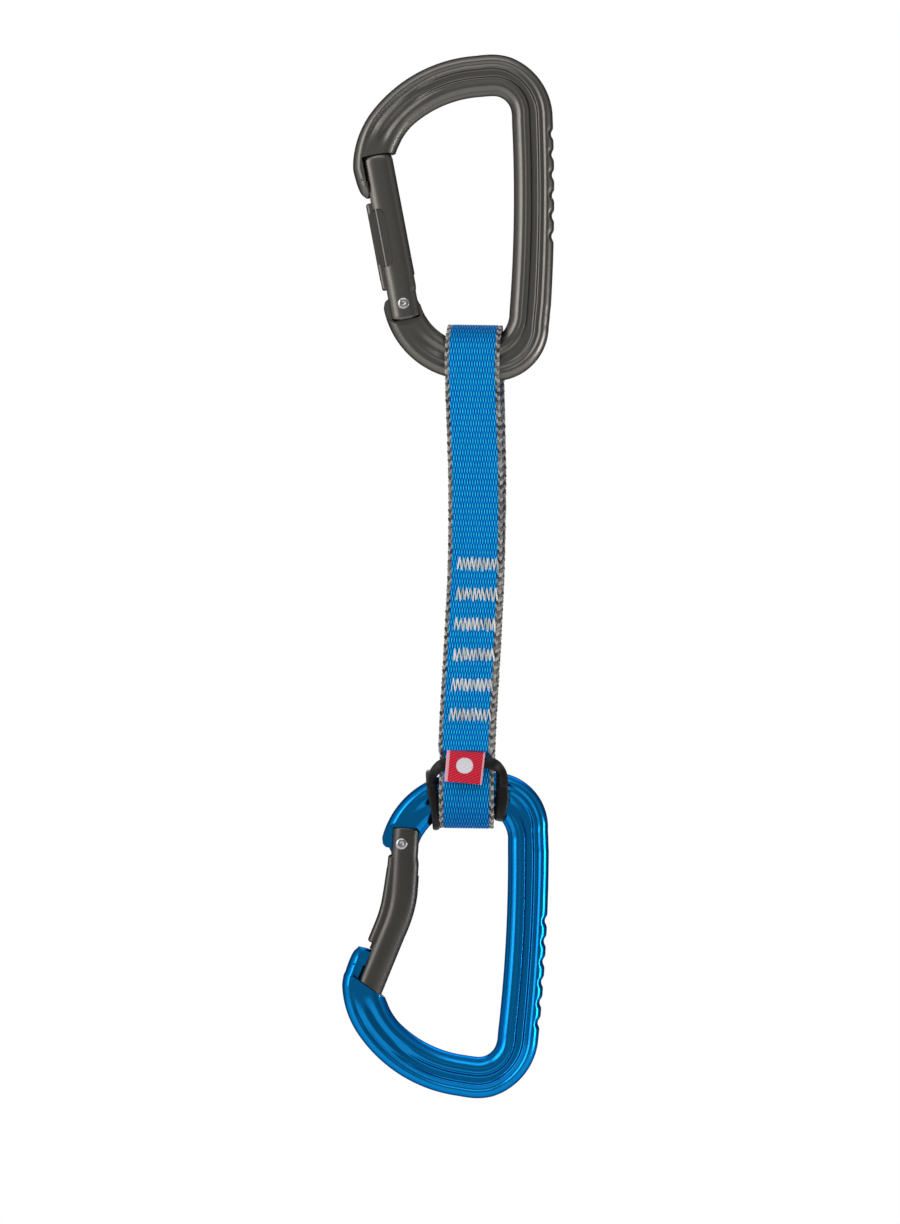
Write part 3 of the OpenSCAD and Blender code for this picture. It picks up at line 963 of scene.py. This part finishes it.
# ---- rubber keeper
def band(path, widths, thicks, sides, closed):
    """A flat band along a path: at each point, a direction across it and its two sizes."""
    path = np.array(path, float)
    way = np.gradient(path, axis=0)
    if closed:
        way = np.roll(path, -1, axis=0) - np.roll(path, 1, axis=0)
    way /= np.linalg.norm(way, axis=1)[:, None]
    rows = []
    for p, d, across, w, t in zip(path, way, sides, widths, thicks):
        across = np.array(across, float)
        across -= d * (across @ d)
        across /= np.linalg.norm(across)
        up = np.cross(d, across)
        section = rounded_section(-1, 1, 1, 3.2)[::2]
        rows.append([p + w / 2 * a * across + t / 2 * b * up for a, b in section])
    if closed:
        rows.append(rows[0])
    return loft(rows)


def keeper(name, place):
    """A rubber stirrup: two rings round the bar, and a strap over each face of the tape."""
    parts = []
    high = -LOWER_NECK - 15.6
    for side, bottom in ((-1, -SLING_LENGTH - 11.2), (1, -SLING_LENGTH - 8.2)):
        ring, widths, thicks, across = [], [], [], []
        middle_z, half_z, half_y = (high + bottom) / 2, (high - bottom) / 2, 6.4
        for angle in np.linspace(0, 2 * pi, 72, endpoint=False):
            c, s = cos(angle), sin(angle)
            size = (abs(c) ** 3.4 + abs(s) ** 3.4) ** (-1 / 3.4)
            y, z = half_y * size * c, middle_z + half_z * size * s
            down = (high - z) / (high - bottom)
            belly = sin(pi * min(1.0, down)) ** 2
            if side < 0:
                lean, wide = 11.8 - 1.7 * smooth_step(down), 3.6 - 1.3 * down
            else:
                lean, wide = 9.8 + 0.5 * belly - 0.4 * down, 3.4 + 0.6 * belly
            ring.append((side * lean, y, z))
            widths.append(wide)
            thicks.append(1.9)
            across.append((1, 0, side * 0.35 * (0.5 - down)))
        parts.append(band(ring, widths, thicks, across, True))
    # The strap as X and distance down the tape, from its left ring to its right one
    route = [(-12.0, 20.5), (-12.0, 18.6), (-11.3, 16.6), (-9.6, 14.9), (-7.4, 14.1), (-4, 13.9)]
    route += [(4, 13.7), (7.0, 13.8), (9.2, 14.8), (10.3, 16.6), (10.4, 18.6), (10.4, 20.5)]
    route = np.array(route)
    places = np.interp(np.linspace(0, len(route) - 1, 90), range(len(route)), route[:, 0])
    downs = np.interp(np.linspace(0, len(route) - 1, 90), range(len(route)), route[:, 1])
    places, downs = softened(places, 5), softened(downs, 5)
    turns = np.arctan2(np.gradient(downs), np.gradient(places))
    for place_on, direction in ((on_front, FRONT_DIR), (on_back, BACK_DIR)):
        strap, widths, across = [], [], []
        for x, down, turn in zip(places, downs, turns):
            end = smooth_step((abs(x + 0.8) - 7.5) / 4.5)
            strap.append((x, *place_on(down, TAPE_T / 2 + 1.0 - 3.2 * end)))
            widths.append(3.6 - 0.8 * end)
            across.append((-sin(turn), *(cos(turn) * direction)))
        parts.append(band(strap, widths, [1.7] * len(strap), across, False))
    points, faces = [], []
    for part_points, part_faces in parts:
        first = len(points)
        points += part_points.tolist()
        faces += [[first + k for k in face] for face in part_faces]
    piece = new_object(name, points, faces, place)
    remesh = piece.modifiers.new("remesh", "REMESH")
    remesh.mode = "VOXEL"
    remesh.voxel_size = 0.3 * MM
    smooth = piece.modifiers.new("smooth", "SMOOTH")
    smooth.iterations = 9
    smooth.factor = 0.5
    settle(piece)
    return piece


stirrup = keeper("keeper_rubber", SLING)
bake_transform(stirrup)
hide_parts("rubber_keeper")


# ---- materials
def linear(colour):
    """An sRGB colour, 0 to 255, as linear RGBA."""
    parts = [c / 255 for c in colour]
    return [c / 12.92 if c <= 0.04045 else ((c + 0.055) / 1.055) ** 2.4 for c in parts] + [1]


def new_node(tree, kind, links=(), **settings):
    """A node with its settings, whose inputs are other nodes' sockets or plain values."""
    made = tree.nodes.new(kind)
    for key, value in settings.items():
        setattr(made, key, value)
    for key, value in links:
        if isinstance(value, bpy.types.NodeSocket):
            tree.links.new(value, made.inputs[key])
        else:
            made.inputs[key].default_value = value
    return made


def new_ramp(tree, source, stops):
    """A colour ramp's output, with a colour at each stop."""
    made = new_node(tree, "ShaderNodeValToRGB", [("Fac", source)])
    elements = made.color_ramp.elements
    while len(elements) < len(stops):
        elements.new(0.5)
    for element, (position, colour) in zip(elements, stops):
        element.position = position
        element.color = colour
    return made.outputs["Color"]


class Look:
    """A material's node tree, with short calls for its nodes."""

    def __init__(self, name, **inputs):
        self.material = bpy.data.materials.new(name)
        self.material.use_nodes = True
        self.tree = self.material.node_tree
        self.shader = self.tree.nodes["Principled BSDF"]
        for key, value in inputs.items():
            self.shader.inputs[key.replace("_", " ")].default_value = value
        self.place = self.node("ShaderNodeTexCoord").outputs["Object"]

    def node(self, kind, links=(), **settings):
        return new_node(self.tree, kind, links, **settings)

    def noise(self, scale, detail, stretch=(1, 1, 1)):
        mapping = self.node("ShaderNodeMapping", [("Vector", self.place), ("Scale", stretch)])
        links = [("Vector", mapping.outputs[0]), ("Scale", scale), ("Detail", detail)]
        return self.node("ShaderNodeTexNoise", links + [("Roughness", 0.6)]).outputs["Fac"]

    def attribute(self, name):
        return self.node("ShaderNodeAttribute", attribute_name=name).outputs["Fac"]

    def ramp(self, source, stops):
        return new_ramp(self.tree, source, stops)

    def math(self, operation, a, b=0.0, c=0.0):
        links = [(0, a), (1, b), (2, c)]
        return self.node("ShaderNodeMath", links, operation=operation).outputs[0]

    def mix(self, factor, a, b):
        links = [(0, factor), (6, a), (7, b)]
        return self.node("ShaderNodeMix", links, data_type="RGBA").outputs[2]

    def into(self, socket, source):
        self.tree.links.new(source, self.shader.inputs[socket])

    def bump(self, height, depth, strength):
        links = [("Height", height), ("Distance", depth), ("Strength", strength)]
        self.into("Normal", self.node("ShaderNodeBump", links).outputs[0])


def grey(value):
    return [value, value, value, 1]


GLOSS_SPREAD = 0.1


def anodised(name, colour, edge, rough, rim=0.1):
    """Anodised aluminium: a fine blasted grain, soft clouds in the gloss, and a dark rim where
    the surface turns away."""
    look = Look(name, Metallic=1.0, Specular_Tint=grey(rim))
    colour, edge = linear(colour), linear(edge)
    clouds = look.noise(180, 4)
    grain = look.noise(5200, 2)
    worn = look.ramp(look.noise(900, 3), [(0.62, grey(0)), (0.8, grey(1))])
    base = look.mix(look.math("MULTIPLY", clouds, 0.35), colour, [c * 0.7 for c in colour])
    look.into("Base Color", look.mix(look.math("MULTIPLY", worn, 0.15), base, edge))
    gloss = look.math("MULTIPLY_ADD", clouds, GLOSS_SPREAD, rough - GLOSS_SPREAD / 2)
    look.into("Roughness", gloss)
    look.bump(grain, 0.00003, 0.35)
    return look.material


def painted(piece, material):
    piece.data.materials.clear()
    piece.data.materials.append(material)


dark_metal = anodised("anodised_grey", (126, 123, 118), (176, 173, 166), 0.35)
blue_metal = anodised("anodised_blue", (18, 140, 216), (95, 208, 250), 0.2)
gate_metal = anodised("gate_metal", (122, 119, 113), (172, 169, 162), 0.36)
dark_gate = anodised("gate_metal_dark", (100, 97, 93), (160, 156, 150), 0.36)
steel = anodised("steel", (200, 200, 200), (240, 240, 240), 0.2, rim=0.6)
painted(body_top, dark_metal)
painted(body_bottom, blue_metal)
painted(gate_top, gate_metal)
painted(gate_bottom, dark_gate)
for piece in bpy.data.objects:
    if piece.name.startswith("rivet_"):
        painted(piece, steel)
for node in ("top_gate_plunger", "top_gate_spring", "bottom_gate_plunger", "bottom_gate_spring"):
    painted(frame["nodes"][node], steel)


def tape_material():
    """The same weave as in the mesh, drawn finer: upright yarns in interlocking rows."""
    look = Look("tape_weave", Roughness=0.6, Specular_IOR_Level=0.06)
    uv = look.node("ShaderNodeUVMap", uv_map="cloth").outputs[0]
    split = look.node("ShaderNodeSeparateXYZ", [(0, uv)])
    yarns = look.math("MULTIPLY", split.outputs[0], UV_MM / YARN_PITCH)
    rows = look.math("MULTIPLY", split.outputs[1], UV_MM / ROW_PITCH)
    heights = []
    for parity in (0, 1):
        in_row = look.math("WRAP", look.math("SUBTRACT", rows, parity + 0.5), 1.0, -1.0)
        far = look.math("MULTIPLY", in_row, 1 / YARN_REACH)
        room = look.math("SUBTRACT", 1.0, look.math("MULTIPLY", far, far))
        window = look.math("SQRT", look.math("MAXIMUM", room, 0.0))
        wave = look.math("COSINE", look.math("MULTIPLY_ADD", yarns, pi, parity * pi / 2))
        lobe = look.math("MULTIPLY", wave, wave)
        heights.append(look.math("MULTIPLY", lobe, window))
    weave = look.math("MAXIMUM", *heights)
    fibres = look.noise(2600, 2, (1, 1, 0.12))
    patches = look.noise(60, 3)
    height = look.math("ADD", weave, look.math("MULTIPLY_ADD", fibres, 0.3, -0.15))
    # Painted shade in the gaps between the yarns, and painted highlights on their tops
    shaded_blues = [(0.05, linear((0, 54, 160))), (0.35, linear((0, 130, 245)))]
    shaded_blues += [(0.7, linear((0, 196, 255))), (1.0, linear((60, 240, 255)))]
    colour = look.ramp(height, shaded_blues)
    tint = look.mix(look.math("MULTIPLY", patches, 0.2), colour, linear((0, 122, 230)))
    # Painted shade on the folds over the bars, which the lamps don't darken: a deeper blue by
    # height
    height_above = look.node("ShaderNodeSeparateXYZ", [(0, look.place)]).outputs[2]
    between = look.math("MULTIPLY_ADD", height_above, 5.0, 1.2)
    fold_shade_stops = [(0.08, grey(1)), (0.135, grey(0)), (0.81, grey(0)), (0.84, grey(1))]
    folded = look.ramp(between, fold_shade_stops)
    deep = look.mix(0.55, tint, linear((0, 20, 130)))
    look.into("Base Color", look.mix(look.math("MULTIPLY", folded, 0.9), tint, deep))
    look.bump(height, 0.00022, 0.7)
    return look.material


def thread_material(name, dark, light):
    look = Look(name, Roughness=0.6, Sheen_Weight=0.08)
    tone = look.attribute("tone")
    fibres = look.noise(3200, 2)
    value = look.math("ADD", tone, look.math("MULTIPLY_ADD", fibres, 0.5, -0.25))
    look.into("Base Color", look.ramp(value, [(0.0, linear(dark)), (1.0, linear(light))]))
    look.bump(fibres, 0.00006, 0.7)
    return look.material


def label_material():
    """Red twill with pale pink edges and a plain round white patch."""
    look = Look("label_twill", Roughness=0.7, Sheen_Weight=0.05, Specular_IOR_Level=0.25)
    uv = look.node("ShaderNodeUVMap", uv_map="cloth").outputs[0]
    split = look.node("ShaderNodeSeparateXYZ", [(0, uv)])
    u, v = split.outputs[0], split.outputs[1]
    stripes = look.math("MULTIPLY_ADD", u, 7.0, look.math("MULTIPLY", v, 13.0))
    twill = look.math("ABSOLUTE", look.math("SINE", look.math("MULTIPLY", stripes, pi)))
    yarns = look.math("ABSOLUTE", look.math("SINE", look.math("MULTIPLY", v, 90.0)))
    relief = look.math("MULTIPLY_ADD", yarns, 0.3, look.math("MULTIPLY", twill, 0.7))
    # Twill pattern from its relief: painted shade in the hollows, painted highlight on the tops
    shaded_reds = [(0.0, linear((130, 4, 26))), (0.5, linear((222, 20, 52))), (1.0, linear((250, 60, 86)))]
    cloth = look.ramp(relief, shaded_reds)
    from_left = look.math("LESS_THAN", u, 0.085)
    from_right = look.math("GREATER_THAN", u, 0.955)
    edge = look.math("MAXIMUM", from_left, from_right)
    cloth = look.mix(edge, cloth, linear((252, 180, 196)))
    du, dv = look.math("SUBTRACT", u, 0.5), look.math("SUBTRACT", v, 0.525)
    squares = look.math("ADD", look.math("MULTIPLY", du, du), look.math("MULTIPLY", dv, dv))
    far = look.math("SQRT", squares)
    ragged = look.math("MULTIPLY_ADD", yarns, 0.02, far)
    patch = look.math("LESS_THAN", ragged, 0.235)
    look.into("Base Color", look.mix(patch, cloth, linear((248, 244, 252))))
    look.bump(look.math("ADD", twill, look.math("MULTIPLY", patch, 0.6)), 0.00012, 0.8)
    return look.material


def rubber_material():
    look = Look("black_rubber", Specular_IOR_Level=0.28)
    cloud = look.noise(220, 4)
    look.into("Base Color", look.mix(cloud, linear((12, 11, 12)), linear((32, 30, 31))))
    look.into("Roughness", look.math("MULTIPLY_ADD", cloud, 0.16, 0.34))
    look.bump(look.noise(2500, 3), 0.00004, 0.5)
    return look.material


painted(tape, tape_material())
painted(edges, thread_material("edge_threads", (42, 40, 38), (196, 193, 187)))
for piece in tacks:
    painted(piece, thread_material("tack_thread", (120, 136, 146), (253, 255, 254)))
painted(tab, label_material())
painted(stirrup, rubber_material())


# ---- studio and camera
low, high = (Vector(corner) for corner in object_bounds())
FLOOR_GAP, FLOOR_HALF = 0.3, 1.2
corners = ((-1, -1), (1, -1), (1, 1), (-1, 1))
floor_mesh = bpy.data.meshes.new("floor")
floor_mesh.from_pydata(
    [(x * FLOOR_HALF, y * FLOOR_HALF, low.z - FLOOR_GAP) for x, y in corners],
    [],
    [(0, 1, 2, 3)],
)
floor = linked("floor", floor_mesh)
paper = Look("floor_paper", Roughness=0.9)
shades = linear((246, 246, 246)), linear((252, 252, 252))
paper.into("Base Color", paper.mix(paper.noise(4, 2), *shades))
painted(floor, paper.material)
floor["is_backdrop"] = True


def area_light(name, place, target, power, width, height):
    light = bpy.data.lights.new(name, "AREA")
    light.shape = "RECTANGLE"
    light.size, light.size_y = width, height
    light.energy = power
    lamp = linked(name, light)
    lamp.location = place
    lamp.rotation_euler = (Vector(target) - Vector(place)).to_track_quat("-Z", "Y").to_euler()


centre = Vector((-0.0124, 0, -0.1596))
area_light("left_strip", (-1.05, -0.7, 0.2), centre, 5.2, 0.6, 1.2)
area_light("right_strip", (1.08, 0.0, -0.45), centre, 6.5, 0.3, 0.65)
area_light("top_box", (-0.1, -0.6, 0.95), centre, 2.2, 1.2, 0.45)
area_light("back", (0.1, 1.2, 0.6), centre, 6, 1.2, 0.8)

world = bpy.data.worlds.new("studio")
bpy.context.scene.world = world
world.use_nodes = True
# Shades by how far back a direction points, and dimmer to the right
tree = world.node_tree
direction = new_node(tree, "ShaderNodeTexCoord").outputs["Generated"]
axes = new_node(tree, "ShaderNodeSeparateXYZ", [(0, direction)]).outputs
halves = [(0, axes["Y"]), (1, 0.5), (2, 0.5)]
toward_back = new_node(tree, "ShaderNodeMath", halves, operation="MULTIPLY_ADD").outputs[0]
shades = [(0.0, 0.3), (0.2, 0.32), (0.42, 0.8), (0.52, 0.75), (0.68, 0.4), (0.9, 0.45)]
shades += [(0.975, 1.0)]
sky = new_ramp(tree, toward_back, [(position, grey(shade)) for position, shade in shades])
span = [("Value", axes["X"]), ("From Min", 0.2), ("From Max", 0.7)]
span += [("To Min", 1.0), ("To Max", 0.6)]
dimming = new_node(tree, "ShaderNodeMapRange", span).outputs["Result"]
shaded = new_node(tree, "ShaderNodeVectorMath", [(0, sky)], operation="SCALE")
tree.links.new(dimming, shaded.inputs["Scale"])
background = tree.nodes["Background"]
background.inputs["Strength"].default_value = 1.0
tree.links.new(shaded.outputs["Vector"], background.inputs["Color"])
bpy.context.scene.view_settings.view_transform = "Standard"

camera_data = bpy.data.cameras.new("camera")
camera = linked("camera", camera_data)
bpy.context.scene.camera = camera
camera_data.lens = 100
SHOWN_HEIGHT = 0.3778
distance = camera_data.lens * SHOWN_HEIGHT / camera_data.sensor_width
camera.location = centre - Vector((0, distance, 0))
camera.rotation_euler = (radians(90), 0, 0)
camera_data.clip_start = 0.01
camera_data.clip_end = 50
